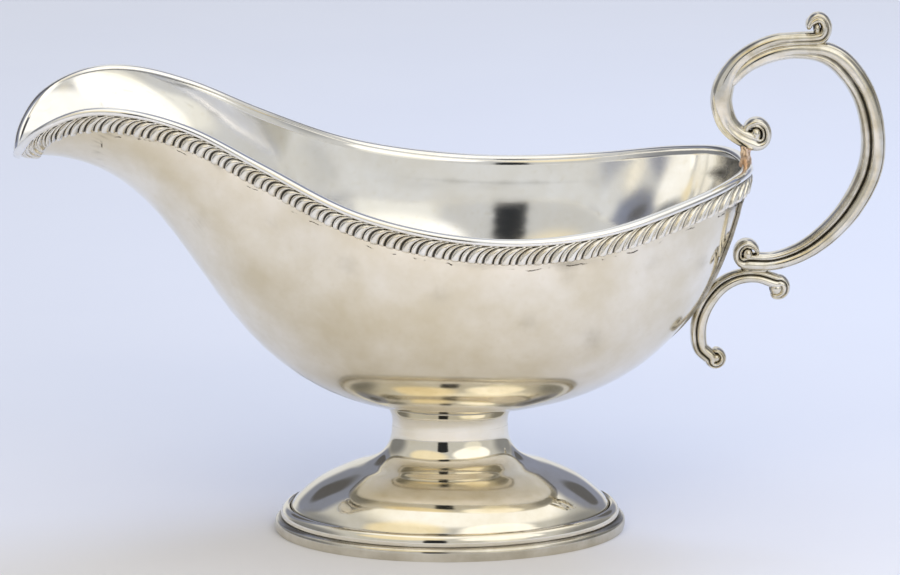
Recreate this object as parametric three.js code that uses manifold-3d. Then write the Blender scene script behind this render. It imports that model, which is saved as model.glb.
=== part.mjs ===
// Sauce boat in silver plate on a spreading oval foot, with a gadroon border and a scroll handle.
// Millimetres, +Z up. The lip points to -X and the handle to +X. The origin is the middle of the base.

import * as THREE from 'three';
import { mergeVertices } from 'three/addons/utils/BufferGeometryUtils.js';
import Module from 'manifold-3d';

const wasm = await Module();
wasm.setup();

// Clearance between neighbouring pieces, and under the border, where the faceted wall bends most
const GAP = 0.3;
const BORDER_GAP = 0.45;

// Bowl: the rim from the lip to the back, as place along X, half width and height over the bottom
const RIM_LINE = [
  [-104.4, 0, 64.5],
  [-102.8, 13.2, 69.0],
  [-97.3, 20.5, 75.4],
  [-88.0, 22.7, 79.8],
  [-77.0, 24.7, 80.2],
  [-62.0, 25.9, 76.2],
  [-45.0, 30.2, 68.0],
  [-22.0, 39.2, 58.0],
  [8.0, 43.8, 52.8],
  [34.0, 40.2, 53.8],
  [56.0, 28.3, 58.3],
  [68.0, 16.5, 60.7],
  [72.5, 0, 60.5],
];
const BOWL_BOTTOM_X = 0.5;
const BOWL_WALL = 1.2;
// How far the lowest line of the bowl runs level from the bottom, then how it arrives at the rim
const LIP_KEEL = { level: 68.8, arriveX: -52.8, arriveHeight: 67.7 };
const BACK_KEEL = { level: 46.0, arriveX: 65.7, arriveHeight: 21.8 };
// The lip is flared, and the flare dies out towards the body
const LIP_FLARE = 0.75;
const LIP_FLARE_END_X = -45;
const FLARE_CURL = 0.45;
// How deep the cutting blocks reach into the bowl from its outside
const ROOM_DEPTH = 8;

// Border: a plain edge wire over a band of gadroons, both measured down the wall from the rim
const WIRE_HEIGHT = 1.4;
const WIRE_DEPTH = 1.1;
const GADROON_BAND_HEIGHT = 4.4;
const GADROON_DEPTH = 1.5;
const GADROON_GROOVE = 0.45;
const GADROONS_PER_SIDE = 58;
const GADROON_LEAN = 3.4;
// The lean fades out over this many steps at the ends of the band
const LEAN_FADE = 4;

// Foot: every level is an oval, given by its half length, and the half width follows from it
const BASE_HALF_LENGTH = 42.5;
const BASE_HALF_WIDTH = 30.3;
const NECK_HALF_LENGTH = 13.6;
const NECK_HALF_WIDTH = 7.7;
const NECK_HEIGHT = 26.0;
const COLLAR_HEIGHT = 3.6;
const COLLAR_WAIST_HEIGHT = 1.4;
const COLLAR_TOP_HALF_LENGTH = 17.0;
const COLLAR_RIM_HEIGHT = 3.0;
const COLLAR_WALL = 2.2;
const NECK_SPREAD = 0.2;
const FOOT_WALL = 1.4;
const BAND_HEIGHT = 3.3;
const BAND_WIDTH = 5.9;
const BAND_REST_WIDTH = 2.8;
const BAND_ROUNDING = 0.9;
const BEAD_HEIGHT = 2.9;
const BEAD_WIDTH = 2.4;
const BEAD_SETBACK = 1.2;
const DOME_EDGE_HEIGHT = 6.0;
// The dome of the foot, as shares of the way out and down from the neck to its edge
const DOME_LINE = [
  [0.04, 0.19],
  [0.145, 0.325],
  [0.43, 0.475],
  [0.735, 0.69],
  [0.935, 0.9],
];
const DOME_INSIDE_DROP = 0.6;

// Handle: the lines of the scrolls, as X, Z, thickness and width, measured from the back of the rim
const FRONT_SCROLL = [
  [0.4, 5.9, 3.4, 4.6],
  [-3.3, 7.3, 4.8, 5.4],
  [-5.9, 10.2, 4.8, 5.6],
  [-7.4, 15.4, 4.6, 5.6],
  [-7.3, 19.4, 4.2, 5.5],
  [-6.4, 22.4, 3.3, 5.2],
  [-3.3, 26.1, 3.2, 5.0],
  [1.0, 28.65, 3.3, 5.0],
  [5.5, 30.05, 3.35, 5.0],
  [10.0, 30.4, 3.3, 4.9],
  [14.6, 30.6, 3.2, 4.8],
];
const MAIN_SCROLL = [
  [-4.5, 21.3, 1.2, 4.4],
  [-1.2, 24.2, 2.5, 4.8],
  [3.8, 26.6, 2.6, 5.0],
  [8.8, 27.3, 2.7, 5.2],
  [13.7, 27.2, 3.4, 5.6],
  [17.7, 26.7, 4.9, 6.0],
  [21.8, 23.9, 5.4, 6.2],
  [26.6, 17.1, 5.8, 6.4],
  [29.0, 6.4, 6.0, 6.4],
  [28.4, -1.2, 6.1, 6.4],
  [24.3, -10.1, 5.6, 6.2],
  [18.9, -16.6, 5.0, 6.0],
  [12.6, -21.7, 4.3, 5.6],
  [5.5, -24.5, 4.4, 5.2],
  [1.2, -24.4, 3.6, 4.8],
];
// The lower scroll is measured along X from where it touches the plate, and down from the main scroll
const LOWER_SCROLL = [
  [17.7, -1.9, 2.8, 4.2],
  [13.4, -1.45, 2.9, 4.4],
  [9.6, -1.6, 3.1, 4.5],
  [5.6, -3.9, 3.3, 4.6],
  [2.2, -7.7, 3.6, 4.7],
  [0.1, -11.6, 3.8, 4.7],
  [-0.7, -15.8, 3.9, 4.7],
  [0, -19.5, 3.8, 4.6],
  [2.0, -22.1, 3.5, 4.5],
];
const LOWER_SCROLL_TOUCH = 7.8;
// Each volute is a button at the end of a scroll, as X, Z, radius and width
const UPPER_VOLUTE = [0.9, 7.5, 3.9, 5.4];
const THUMB_VOLUTE = [15.9, 33.6, 3.1, 5.0];
const MAIN_VOLUTE = [-0.9, -22.5, 3.6, 5.4];
const RIGHT_VOLUTE = [18.8, -3.9, 2.8, 4.8];
const FOOT_VOLUTE = [4.0, -21.9, 2.6, 4.8];
const VOLUTE_ROUNDING = 0.9;

// Post between the rim and the upper volute, and the plate on the back of the bowl
const STRUT_THICKNESS = 2.3;
const STRUT_WIDTH = 3.2;
const STRUT_SETBACK = 1.3;
const PLATE_THICKNESS = 0.8;
// The outline of the plate, as half width and depth under the rim
const PLATE_OUTLINE = [
  [10.6, 8.0],
  [10.6, 9.6],
  [9.4, 9.9],
  [9.4, 17.4],
  [10.4, 18.8],
  [8.8, 20.6],
  [6.9, 25.0],
  [4.9, 31.0],
  [2.8, 37.4],
  [0, 42.6],
];

// Facets
const STATIONS_PER_SIDE = 48;
const WALL_ROWS = 10;
const WIRE_STATIONS = 52;
const OVAL_SEGMENTS = 40;
const SCROLL_SIDES = 8;
const VOLUTE_SEGMENTS = 20;
const DOME_ROWS = 11;

// Materials
function silver(color, roughness) {
  return new THREE.MeshStandardMaterial({ color, roughness, metalness: 1 });
}
const bowlSilver = silver(0xd6d3c6, 0.16);
const borderSilver = silver(0xcfccc0, 0.2);
const footSilver = silver(0xd2ccb8, 0.12);
const handleSilver = silver(0xd0c9b2, 0.15);
const solderedSilver = silver(0xc0a283, 0.3);

const object = new THREE.Group();

function addPiece(name, geometry, material) {
  const mesh = new THREE.Mesh(geometry, material);
  mesh.name = name;
  object.add(mesh);
}

// Closed surfaces from rings of points

function geometryFrom(points, triangles) {
  const geometry = new THREE.BufferGeometry();
  const flat = points.flatMap((point) => [point.x, point.y, point.z]);
  geometry.setAttribute('position', new THREE.Float32BufferAttribute(flat, 3));
  geometry.setIndex(triangles.flat());
  return faceOutward(geometry);
}

function faceOutward(geometry) {
  const position = geometry.attributes.position;
  const index = geometry.index.array;
  const corners = [new THREE.Vector3(), new THREE.Vector3(), new THREE.Vector3()];
  let volume = 0;
  for (let i = 0; i < index.length; i += 3) {
    corners.forEach((corner, k) => corner.fromBufferAttribute(position, index[i + k]));
    volume += corners[0].dot(corners[1].clone().cross(corners[2]));
  }
  if (volume < 0) {
    for (let i = 0; i < index.length; i += 3) {
      [index[i + 1], index[i + 2]] = [index[i + 2], index[i + 1]];
    }
  }
  return geometry;
}

function joinRings(first, second, size) {
  const triangles = [];
  for (let k = 0; k < size; k += 1) {
    const next = (k + 1) % size;
    triangles.push([first + k, first + next, second + next], [first + k, second + next, second + k]);
  }
  return triangles;
}

// A tube through rings of equal size, either closed on itself or with a flat cap at each end
function loft(rings, closed) {
  const size = rings[0].length;
  const points = rings.flat();
  const triangles = [];
  const spans = closed ? rings.length : rings.length - 1;
  for (let i = 0; i < spans; i += 1) {
    triangles.push(...joinRings(i * size, ((i + 1) % rings.length) * size, size));
  }
  if (!closed) {
    const last = (rings.length - 1) * size;
    for (let k = 1; k < size - 1; k += 1) {
      triangles.push([0, k + 1, k], [last, last + k, last + k + 1]);
    }
  }
  return geometryFrom(points, triangles);
}

// Joins and cuts

function toSolid(geometry) {
  const bare = geometry.clone();
  bare.deleteAttribute('normal');
  bare.deleteAttribute('uv');
  const merged = mergeVertices(bare, 1e-4);
  return new wasm.Manifold(new wasm.Mesh({
    numProp: 3,
    vertProperties: new Float32Array(merged.attributes.position.array),
    triVerts: new Uint32Array(merged.index.array),
  }));
}

function toGeometry(solid) {
  const mesh = solid.getMesh();
  const geometry = new THREE.BufferGeometry();
  geometry.setAttribute('position', new THREE.Float32BufferAttribute(mesh.vertProperties, 3));
  geometry.setIndex(Array.from(mesh.triVerts));
  return geometry;
}

// Bowl

const bowlBottomHeight = NECK_HEIGHT + COLLAR_HEIGHT;

const centripetal = (points, closed) => new THREE.CatmullRomCurve3(points, closed, 'centripetal');

const rimPoint = ([x, halfWidth, height], side) => (
  new THREE.Vector3(x, side * halfWidth, bowlBottomHeight + height)
);
const rimPoints = RIM_LINE.map((entry) => rimPoint(entry, -1));
const farRimPoints = RIM_LINE.slice(1, -1).reverse().map((entry) => rimPoint(entry, 1));
const rimCurve = centripetal([...rimPoints, ...farRimPoints], true);
rimCurve.arcLengthDivisions = 1200;
const RIM_SAMPLES = 800;
const KEEL_SAMPLES = 120;
const rimSamples = rimCurve.getSpacedPoints(RIM_SAMPLES);
const nearRim = rimSamples.slice(0, RIM_SAMPLES / 2 + 1);
const rimBack = rimPoints[rimPoints.length - 1];
const lipTip = rimPoints[0];

function keelPoints(end, { level, arriveX, arriveHeight }) {
  const sign = Math.sign(end.x);
  return new THREE.CubicBezierCurve3(
    new THREE.Vector3(BOWL_BOTTOM_X, 0, bowlBottomHeight),
    new THREE.Vector3(BOWL_BOTTOM_X + sign * level, 0, bowlBottomHeight),
    new THREE.Vector3(arriveX, 0, bowlBottomHeight + arriveHeight),
    end,
  ).getPoints(KEEL_SAMPLES);
}
const keel = [...keelPoints(lipTip, LIP_KEEL).reverse(), ...keelPoints(rimBack, BACK_KEEL).slice(1)];

// The value at x on a line of points that runs along X
function lookUp(line, x, key) {
  let low = 0;
  let high = line.length - 1;
  while (high - low > 1) {
    const middle = (low + high) >> 1;
    if (line[middle].x <= x) low = middle;
    else high = middle;
  }
  const span = line[high].x - line[low].x;
  const share = THREE.MathUtils.clamp((x - line[low].x) / span, 0, 1);
  return THREE.MathUtils.lerp(line[low][key], line[high][key], share);
}

// Height of the outside of the bowl over the point x, y: a quarter oval from the keel to the rim
function bowlHeight(x, y) {
  const halfWidth = Math.max(-lookUp(nearRim, x, 'y'), 1e-6);
  const bottom = lookUp(keel, x, 'z');
  const top = lookUp(nearRim, x, 'z');
  const across = Math.min(Math.abs(y) / halfWidth, 1);
  const flare = LIP_FLARE * (1 - THREE.MathUtils.smoothstep(x, lipTip.x, LIP_FLARE_END_X));
  const round = 1 - Math.sqrt(1 - across ** 2);
  const flared = across ** 2 * (1 - FLARE_CURL + FLARE_CURL * across ** 2);
  return bottom + (top - bottom) * THREE.MathUtils.lerp(round, flared, flare);
}

// The outside of the bowl as rows of points from the bottom to the rim
function bowlRows() {
  const stations = 2 * STATIONS_PER_SIDE;
  const rim = rimCurve.getSpacedPoints(stations).slice(0, stations);
  const rows = [];
  for (let row = 1; row <= WALL_ROWS; row += 1) {
    const reach = Math.sin((row / WALL_ROWS) * (Math.PI / 2));
    rows.push(rim.map((point) => {
      const x = THREE.MathUtils.lerp(BOWL_BOTTOM_X, point.x, reach);
      const y = point.y * reach;
      const z = row === WALL_ROWS ? point.z : bowlHeight(x, y);
      return new THREE.Vector3(x, y, z);
    }));
  }
  return rows;
}

// The rows moved along their normals, outwards for a positive distance
function offsetRows(rows, distance) {
  const size = rows[0].length;
  return rows.map((row, j) => row.map((point, i) => {
    const along = row[(i + 1) % size].clone().sub(row[(i + size - 1) % size]);
    const above = rows[Math.min(j + 1, rows.length - 1)][i];
    const below = rows[Math.max(j - 1, 0)][i];
    const normal = along.cross(above.clone().sub(below)).normalize();
    return point.clone().addScaledVector(normal, distance);
  }));
}

// Rows joined to one point at the bottom
function cupTriangles(first, bottom, size) {
  const triangles = [];
  for (let row = 0; row < WALL_ROWS - 1; row += 1) {
    triangles.push(...joinRings(first + row * size, first + (row + 1) * size, size));
  }
  for (let k = 0; k < size; k += 1) {
    triangles.push([bottom, first + ((k + 1) % size), first + k]);
  }
  return triangles;
}

// The space between two offsets of the outside of the bowl
function bowlShell(outerOffset, innerOffset) {
  const rows = bowlRows();
  const size = rows[0].length;
  const outer = offsetRows(rows, outerOffset).flat();
  const inner = offsetRows(rows, innerOffset).flat();
  const bottoms = [outerOffset, innerOffset].map(
    (offset) => new THREE.Vector3(BOWL_BOTTOM_X, 0, bowlBottomHeight - offset),
  );
  const outerBottom = outer.length + inner.length;
  const flip = ([a, b, c]) => [a, c, b];
  const triangles = [
    ...cupTriangles(0, outerBottom, size),
    ...cupTriangles(outer.length, outerBottom + 1, size).map(flip),
    ...joinRings(outer.length - size, outerBottom - size, size),
  ];
  return geometryFrom([...outer, ...inner, ...bottoms], triangles);
}

addPiece('bowl', bowlShell(0, -BOWL_WALL), bowlSilver);

// Border

const WALL_SAMPLES = 30;
const WALL_REACH = 12;

// Places on the wall at arc distances below the rim, in the plane square to the rim
function wallSection(point, tangent) {
  const inward = new THREE.Vector3(-tangent.y, tangent.x, 0).normalize();
  if (inward.dot(new THREE.Vector3(BOWL_BOTTOM_X - point.x, -point.y, 0)) < 0) inward.negate();
  const places = [];
  let depth = 0;
  for (let k = 0; k <= WALL_SAMPLES; k += 1) {
    const place = point.clone().addScaledVector(inward, WALL_REACH * (k / WALL_SAMPLES) ** 2);
    if (k > 0) {
      place.z = bowlHeight(place.x, place.y);
      depth += place.distanceTo(places[k - 1].place);
    }
    places.push({ place, depth });
  }
  return (distance, height) => {
    const above = places.findLastIndex((entry) => entry.depth <= distance);
    const low = Math.min(Math.max(above, 0), places.length - 2);
    const [from, to] = [places[low], places[low + 1]];
    const down = to.place.clone().sub(from.place);
    const share = (distance - from.depth) / (to.depth - from.depth);
    const outward = inward.clone().multiplyScalar(down.z).addScaledVector(
      new THREE.Vector3(0, 0, 1),
      -down.dot(inward),
    ).normalize();
    return from.place.clone().addScaledVector(down, share).addScaledVector(outward, height);
  };
}

const RIM_CENTRE = 0.5;

function wireStations() {
  const rings = [];
  for (let i = 0; i < 2 * WIRE_STATIONS; i += 1) {
    const share = i / (2 * WIRE_STATIONS);
    const at = wallSection(rimCurve.getPointAt(share), rimCurve.getTangentAt(share));
    rings.push([
      at(0, BORDER_GAP),
      at(0, BORDER_GAP + 0.6 * WIRE_DEPTH),
      at(0.25 * WIRE_HEIGHT, BORDER_GAP + WIRE_DEPTH),
      at(0.75 * WIRE_HEIGHT, BORDER_GAP + WIRE_DEPTH),
      at(WIRE_HEIGHT, BORDER_GAP + 0.6 * WIRE_DEPTH),
      at(WIRE_HEIGHT, BORDER_GAP),
    ]);
  }
  return rings;
}

addPiece('rim_wire', loft(wireStations(), true), borderSilver);

// One half of the gadroon band: it swells at each lobe, and leans back along the rim as it goes down
function gadroonBand(from, to) {
  const length = rimCurve.getLength();
  const top = WIRE_HEIGHT + GAP;
  const bottom = top + GADROON_BAND_HEIGHT;
  const middle = (top + bottom) / 2;
  const start = from + GAP / 2 / length;
  const end = to - GAP / 2 / length;
  const steps = 2 * GADROONS_PER_SIDE;
  const towardsHandle = from < RIM_CENTRE ? 1 : -1;
  const rings = [];
  for (let i = 0; i <= steps; i += 1) {
    const taper = Math.min(i, steps - i, LEAN_FADE) / LEAN_FADE;
    const lean = (towardsHandle * taper * GADROON_LEAN) / length / 2;
    const swell = i % 2 === 1 ? GADROON_DEPTH : GADROON_DEPTH - GADROON_GROOVE;
    const share = THREE.MathUtils.lerp(start, end, i / steps);
    const sections = [share + lean, share, share - lean].map((place) => {
      const wrapped = THREE.MathUtils.clamp(place, start, end);
      return wallSection(rimCurve.getPointAt(wrapped), rimCurve.getTangentAt(wrapped));
    });
    rings.push([
      sections[0](top, BORDER_GAP),
      sections[0](top, BORDER_GAP + 0.6 * swell),
      sections[1](middle, BORDER_GAP + swell),
      sections[2](bottom, BORDER_GAP + 0.5 * swell),
      sections[2](bottom, BORDER_GAP),
    ]);
  }
  return loft(rings, false);
}

addPiece('gadroon_border_near', gadroonBand(0, RIM_CENTRE), borderSilver);
addPiece('gadroon_border_far', gadroonBand(RIM_CENTRE, 1), borderSilver);

// Foot

function halfWidthOf(halfLength) {
  const slope = (BASE_HALF_WIDTH - NECK_HALF_WIDTH) / (BASE_HALF_LENGTH - NECK_HALF_LENGTH);
  return NECK_HALF_WIDTH + slope * (halfLength - NECK_HALF_LENGTH);
}

function oval(halfLength, height) {
  const points = [];
  for (let k = 0; k < OVAL_SEGMENTS; k += 1) {
    const angle = (2 * Math.PI * k) / OVAL_SEGMENTS;
    const x = halfLength * Math.cos(angle);
    const y = halfWidthOf(halfLength) * Math.sin(angle);
    points.push(new THREE.Vector3(x, y, height));
  }
  return points;
}

// An oval ring whose section is a closed outline of half lengths and heights
function ovalRing(outline) {
  return loft(outline.map(([halfLength, height]) => oval(halfLength, height)), true);
}

const bandTop = BAND_HEIGHT;
addPiece('foot_base_band', ovalRing([
  [BASE_HALF_LENGTH - 0.1, 0],
  [BASE_HALF_LENGTH, bandTop - BAND_ROUNDING],
  [BASE_HALF_LENGTH - BAND_ROUNDING, bandTop],
  [BASE_HALF_LENGTH - BAND_WIDTH, bandTop],
  [BASE_HALF_LENGTH - BAND_WIDTH, bandTop / 2],
  [BASE_HALF_LENGTH - BAND_REST_WIDTH, bandTop / 2],
  [BASE_HALF_LENGTH - BAND_REST_WIDTH, 0],
]), footSilver);

const beadOutside = BASE_HALF_LENGTH - BEAD_SETBACK;
const beadInside = beadOutside - BEAD_WIDTH;
addPiece('foot_moulding', ovalRing([
  [beadOutside - 0.3, bandTop],
  [beadOutside, bandTop + 0.35 * BEAD_HEIGHT],
  [beadOutside - 0.3 * BEAD_WIDTH, bandTop + 0.8 * BEAD_HEIGHT],
  [beadInside + 0.25 * BEAD_WIDTH, bandTop + BEAD_HEIGHT],
  [beadInside, bandTop + 0.75 * BEAD_HEIGHT],
  [beadInside, bandTop],
]), footSilver);

const domeEdge = beadInside - GAP;

function domeOutline() {
  const neckTop = NECK_HALF_LENGTH + NECK_SPREAD;
  const line = [
    [neckTop, NECK_HEIGHT],
    ...DOME_LINE.map(([out, down]) => [
      THREE.MathUtils.lerp(neckTop, domeEdge, out),
      THREE.MathUtils.lerp(NECK_HEIGHT, DOME_EDGE_HEIGHT, down),
    ]),
    [domeEdge, DOME_EDGE_HEIGHT],
  ].map(([halfLength, height]) => new THREE.Vector3(halfLength, height, 0));
  const outside = centripetal(line, false).getPoints(DOME_ROWS);
  const inside = outside.map((point, k) => {
    const before = outside[Math.max(k - 1, 0)];
    const after = outside[Math.min(k + 1, outside.length - 1)];
    const along = after.clone().sub(before).normalize();
    return new THREE.Vector3(point.x + along.y * FOOT_WALL, point.y - along.x * FOOT_WALL, 0);
  });
  inside[0].y = NECK_HEIGHT;
  inside[inside.length - 1].set(domeEdge - FOOT_WALL, DOME_EDGE_HEIGHT - DOME_INSIDE_DROP, 0);
  return [
    ...outside,
    new THREE.Vector3(domeEdge, bandTop, 0),
    new THREE.Vector3(domeEdge - FOOT_WALL, bandTop, 0),
    ...inside.reverse(),
  ].map((point) => [point.x, point.y]);
}

addPiece('pedestal', ovalRing(domeOutline()), footSilver);

// The collar flares up to the bowl and is cut to its underside
const collarTop = bowlBottomHeight + COLLAR_RIM_HEIGHT;
const collarRing = toSolid(ovalRing([
  [NECK_HALF_LENGTH + NECK_SPREAD, NECK_HEIGHT],
  [NECK_HALF_LENGTH, NECK_HEIGHT + COLLAR_WAIST_HEIGHT],
  [NECK_HALF_LENGTH + 3 * NECK_SPREAD, bowlBottomHeight],
  [COLLAR_TOP_HALF_LENGTH, collarTop],
  [COLLAR_TOP_HALF_LENGTH - COLLAR_WALL, collarTop],
  [NECK_HALF_LENGTH - COLLAR_WALL, bowlBottomHeight],
  [NECK_HALF_LENGTH - COLLAR_WALL, NECK_HEIGHT],
]));
const bowlWithRoom = toSolid(bowlShell(GAP, -ROOM_DEPTH));
addPiece('neck_collar', toGeometry(collarRing.subtract(bowlWithRoom)), footSilver);

// Handle

// A scroll is swept along its line in the middle plane, with its edges taken off
function scrollSolid(line, anchor, grow) {
  const steps = 3 * (line.length - 1);
  const path = centripetal(line.map(([x, z]) => new THREE.Vector3(anchor.x + x, 0, anchor.z + z)), false);
  const sizes = new THREE.SplineCurve(line.map(([, , thickness, width]) => (
    new THREE.Vector2(thickness, width)
  )));
  const rings = [];
  for (let i = 0; i <= steps; i += 1) {
    const tangent = path.getTangent(i / steps);
    const overrun = (i === steps ? grow : 0) - (i === 0 ? grow : 0);
    const centre = path.getPoint(i / steps).addScaledVector(tangent, overrun);
    const across = new THREE.Vector3(-tangent.z, 0, tangent.x);
    const size = sizes.getPoint(i / steps);
    const ring = [];
    for (let k = 0; k < SCROLL_SIDES; k += 1) {
      const angle = (2 * Math.PI * (k + 0.5)) / SCROLL_SIDES;
      const corner = 1 / Math.cos(Math.PI / SCROLL_SIDES);
      const high = Math.cos(angle) * corner * (size.x / 2 + grow);
      const side = Math.sin(angle) * corner * (size.y / 2 + grow);
      ring.push(centre.clone().addScaledVector(across, high).add(new THREE.Vector3(0, side, 0)));
    }
    rings.push(ring);
  }
  return toSolid(loft(rings, false));
}

function voluteSolid([x, z, radius, width], anchor, grow) {
  const r = radius + grow;
  const half = width / 2 + grow;
  const profile = [
    [0, -half],
    [r - VOLUTE_ROUNDING, -half],
    [r, VOLUTE_ROUNDING - half],
    [r, half - VOLUTE_ROUNDING],
    [r - VOLUTE_ROUNDING, half],
    [0, half],
  ].map(([a, b]) => new THREE.Vector2(a, b));
  const button = new THREE.LatheGeometry(profile, VOLUTE_SEGMENTS);
  button.translate(anchor.x + x, 0, anchor.z + z);
  return toSolid(button);
}

function handleSolid(line, volutes, anchor, grow) {
  return volutes.reduce(
    (solid, volute) => solid.add(voluteSolid(volute, anchor, grow)),
    scrollSolid(line, anchor, grow),
  );
}

const frontVolutes = [UPPER_VOLUTE, THUMB_VOLUTE];
const frontScroll = handleSolid(FRONT_SCROLL, frontVolutes, rimBack, 0);
addPiece('handle_front_scroll', toGeometry(frontScroll), handleSilver);

const frontWithRoom = handleSolid(FRONT_SCROLL, frontVolutes, rimBack, GAP);
const plateWithRoom = toSolid(bowlShell(2 * GAP + PLATE_THICKNESS, -ROOM_DEPTH));
const mainScroll = handleSolid(MAIN_SCROLL, [MAIN_VOLUTE], rimBack, 0)
  .subtract(frontWithRoom)
  .subtract(plateWithRoom);
addPiece('handle_main_scroll', toGeometry(mainScroll), handleSilver);

// The lower scroll hangs under the lowest stretch of the main scroll and touches the plate
const [, lowZ, lowThickness] = MAIN_SCROLL[MAIN_SCROLL.length - 2];
const mainBottom = rimBack.z + lowZ - lowThickness / 2;
const touch = keel.findLast((point) => point.z < mainBottom - LOWER_SCROLL_TOUCH);
const lowerAnchor = new THREE.Vector3(touch.x + 2 * GAP + PLATE_THICKNESS, 0, mainBottom);
const mainWithRoom = handleSolid(MAIN_SCROLL, [MAIN_VOLUTE], rimBack, GAP);
const lowerScroll = handleSolid(LOWER_SCROLL, [RIGHT_VOLUTE, FOOT_VOLUTE], lowerAnchor, 0)
  .subtract(mainWithRoom)
  .subtract(plateWithRoom);
addPiece('handle_lower_scroll', toGeometry(lowerScroll), handleSilver);

// The plate is the part of an offset shell of the bowl that lies inside its outline
function plateSolid() {
  const side = PLATE_OUTLINE.map(([y, depth]) => new THREE.Vector2(y, rimBack.z - depth));
  const other = PLATE_OUTLINE.slice(0, -1).reverse().map(([y, depth]) => (
    new THREE.Vector2(-y, rimBack.z - depth)
  ));
  const block = new THREE.ExtrudeGeometry(new THREE.Shape([...side, ...other]), {
    depth: rimBack.x - BOWL_BOTTOM_X + ROOM_DEPTH,
    bevelEnabled: false,
  });
  block.rotateX(Math.PI / 2);
  block.rotateZ(Math.PI / 2);
  block.translate(BOWL_BOTTOM_X, 0, 0);
  const shell = toSolid(bowlShell(GAP + PLATE_THICKNESS, GAP));
  return shell.intersect(toSolid(block));
}

addPiece('handle_plate', toGeometry(plateSolid()), handleSilver);

// The post stands on the edge of the bowl and is cut to the upper volute
const strutFoot = rimBack.z + GAP;
const strutTop = rimBack.z + UPPER_VOLUTE[1];
const post = new THREE.BoxGeometry(STRUT_THICKNESS, STRUT_WIDTH, strutTop - strutFoot);
post.translate(rimBack.x - STRUT_SETBACK, 0, (strutFoot + strutTop) / 2);
const strut = toSolid(post).subtract(frontWithRoom);
addPiece('rim_strut', toGeometry(strut), solderedSilver);

// The whole is moved so that the box round it is centred over the origin
const box = new THREE.Box3().setFromObject(object);
object.position.set(-(box.min.x + box.max.x) / 2, -(box.min.y + box.max.y) / 2, -box.min.z);

export default object;
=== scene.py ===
"""A silver-plated sauce boat: deep bowl, gadroon border, spreading foot and scroll handle."""
import math
from functools import partial

import bpy
import numpy as np
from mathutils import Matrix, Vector


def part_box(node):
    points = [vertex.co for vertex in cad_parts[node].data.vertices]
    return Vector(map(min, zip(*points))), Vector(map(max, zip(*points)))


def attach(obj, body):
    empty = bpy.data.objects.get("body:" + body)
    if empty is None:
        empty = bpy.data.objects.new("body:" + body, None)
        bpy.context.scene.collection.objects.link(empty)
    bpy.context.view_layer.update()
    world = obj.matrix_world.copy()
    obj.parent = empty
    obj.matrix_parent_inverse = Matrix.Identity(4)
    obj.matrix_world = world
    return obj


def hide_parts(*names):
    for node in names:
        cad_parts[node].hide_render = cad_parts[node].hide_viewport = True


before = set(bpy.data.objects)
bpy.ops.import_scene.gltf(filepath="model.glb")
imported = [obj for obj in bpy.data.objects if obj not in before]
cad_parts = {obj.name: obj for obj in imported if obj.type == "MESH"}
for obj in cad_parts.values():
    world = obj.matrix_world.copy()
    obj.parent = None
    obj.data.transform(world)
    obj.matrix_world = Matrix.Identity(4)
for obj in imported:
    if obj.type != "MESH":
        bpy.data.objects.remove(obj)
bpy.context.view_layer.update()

bl_info = {
    "name": "Silver sauce boat",
    "version": (1, 0, 0),
    "blender": (4, 5, 0),
    "location": "3D View > Sidebar > Sauce boat",
    "description": "Models the silver pieces of a sauce boat over its solid frame",
    "category": "Object",
}

MM = 0.001
# The base of the foot is even on both sides, so the middle of its box is the middle of the boat
_base_low, _base_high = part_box("foot_base_band")
MIDDLE_X = (_base_low.x + _base_high.x) / 2

# The rim from the lip to the back: place along X, half width and height, in millimetres
RIM_LINE = [
    (-103.7, 0.0, 94.3), (-102.3, 13.2, 98.6), (-97.3, 20.5, 105.0), (-88.0, 22.7, 109.4),
    (-77.0, 24.7, 109.8), (-62.0, 25.9, 105.8), (-45.0, 30.2, 97.6), (-22.0, 39.2, 87.6),
    (8.0, 43.8, 82.4), (34.0, 40.2, 83.4), (56.0, 28.3, 87.9), (67.3, 16.3, 90.3), (71.4, 0.0, 90.1),
]
# The handle is measured from the back of the rim, outside its rounded edge
RIM_BACK = np.array((72.5, 90.1))
# The lowest point of the bowl, and its lowest line towards the lip and towards the back, each with
# the two middle handles of its curve
BOTTOM = (0.5, 29.6)
LIP_KEEL = ((-68.3, 29.6), (-52.8, 97.3))
BACK_KEEL = ((46.5, 29.6), (64.4, 51.6))
# How far the lip flares out instead of rounding, where along X that ends, and how much it curls
LIP_FLARE = 0.75
LIP_FLARE_END = -45.0
FLARE_CURL = 0.45

# The scrolls as place along X, height, thickness and width, from the back of the rim, in millimetres
FRONT_LINE = [
    (-3.4, 7.3, 4.7, 5.4), (-6.1, 10.2, 5.1, 5.4), (-7.5, 15.2, 5.3, 5.6), (-7.0, 19.0, 5.2, 5.5),
    (-5.7, 22.3, 4.2, 5.2), (-2.9, 25.8, 3.5, 5.0), (1.2, 28.5, 3.3, 5.0), (5.6, 30.0, 3.35, 5.0),
    (10.0, 30.4, 3.2, 4.9),
]
MAIN_LINE = [
    (-5.8, 18.6, 1.6, 4.2), (-4.3, 21.1, 2.7, 4.6), (-1.2, 24.1, 3.3, 4.9), (3.6, 26.45, 3.8, 5.1),
    (8.8, 27.6, 3.9, 5.2), (13.2, 27.6, 4.3, 5.6), (17.5, 26.9, 5.3, 6.0), (21.5, 24.3, 5.9, 6.2),
    (26.5, 17.2, 5.8, 6.4), (29.0, 7.6, 5.9, 6.4), (28.5, -1.2, 6.0, 6.4), (24.5, -10.1, 5.7, 6.2),
    (19.1, -16.7, 5.2, 6.0), (12.6, -21.6, 4.6, 5.6), (5.5, -24.1, 4.3, 5.4),
]
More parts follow.
